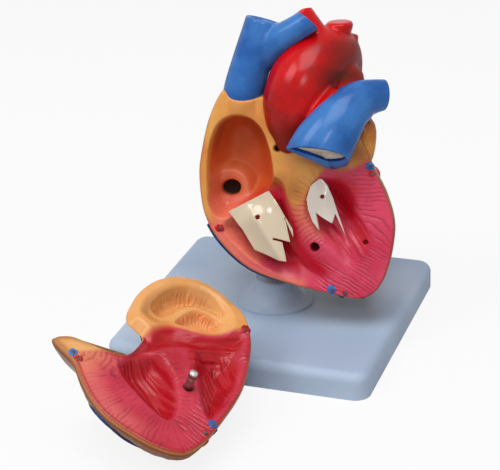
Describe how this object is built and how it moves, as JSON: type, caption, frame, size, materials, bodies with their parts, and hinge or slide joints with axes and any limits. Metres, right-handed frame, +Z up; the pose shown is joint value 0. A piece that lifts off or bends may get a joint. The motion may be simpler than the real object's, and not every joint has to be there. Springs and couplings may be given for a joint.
{
  "type": "human heart anatomy model",
  "caption": "Life-size heart on a rod and square base, cut open, with its front wall lifted off, valve flaps, locating pin and magnets.",
  "frame": {"origin": "centre of the base plate's underside", "axes": "+Z up, the heart's cut face looks towards -Y, +X to the viewer's right"},
  "size_m": [0.125, 0.2125, 0.153],
  "materials": {
    "stand_grey": "soft satin moulding",
    "rod_white": "satin",
    "skin_orange": "painted gloss",
    "muscle_pink": "painted gloss with fine strokes",
    "vessel_blue": "painted gloss",
    "vessel_red": "painted gloss",
    "flap_cream": "glossy soft vinyl",
    "valve_white": "gloss",
    "pin_steel": "turned"
  },
  "bodies": {
    "base": {"base_plate": "stand_grey", "pedestal": "stand_grey"},
    "rod": {"support_rod": "rod_white", "support_collar": "rod_white"},
    "heart": {"heart_body": "skin_orange", "rod_socket": "rod_white", "pin_sleeve": "muscle_pink", "body_magnets": "pin_steel", "body_artery_rings": "vessel_red", "body_vein_rings": "vessel_blue", "body_coronary_arteries": "vessel_red", "body_coronary_veins": "vessel_blue", "left_auricle": "skin_orange", "upper_great_vein": "vessel_blue", "aorta": "vessel_red", "lung_artery": "vessel_blue", "lung_valve": "valve_white", "right_lung_artery": "vessel_blue", "right_lung_veins": "vessel_red", "left_lung_veins": "vessel_red", "lower_great_vein": "vessel_blue"},
    "tricuspid": {"tricuspid_flap": "flap_cream"},
    "mitral": {"mitral_flap": "flap_cream"},
    "wall": {"front_wall": "muscle_pink", "locating_pin": "pin_steel", "wall_magnets": "pin_steel", "wall_artery_rings": "vessel_red", "wall_vein_rings": "vessel_blue", "wall_coronary_arteries": "vessel_red", "wall_coronary_veins": "vessel_blue"}
  },
  "joints": [
    {"name": "rod_turn", "type": "hinge", "parent": "base", "child": "rod", "pos_m": [0, 0, 0.0126], "axis": [0, 0, 1], "range_deg": [-60, 180]},
    {"name": "heart_lift", "type": "slide", "parent": "rod", "child": "heart", "axis": [0, 0, 1], "range_m": [0, 0.02]},
    {"name": "tricuspid_bend", "type": "hinge", "parent": "heart", "child": "tricuspid", "pos_m": [-0.00513, -0.01769, 0.07064], "axis": [-0.8407, -0.2751, -0.4664], "range_deg": [0, 25], "stiffness_Nm_per_rad": 0.002},
    {"name": "mitral_bend", "type": "hinge", "parent": "heart", "child": "mitral", "pos_m": [0.02731, -0.009, 0.08156], "axis": [-0.9848, -0.1736, 0], "range_deg": [0, 25], "stiffness_Nm_per_rad": 0.002},
    {"name": "front_wall_lift", "type": "slide", "parent": "base", "child": "wall", "axis": [0, 0, 1], "range_m": [0, 0.04]}
  ]
}
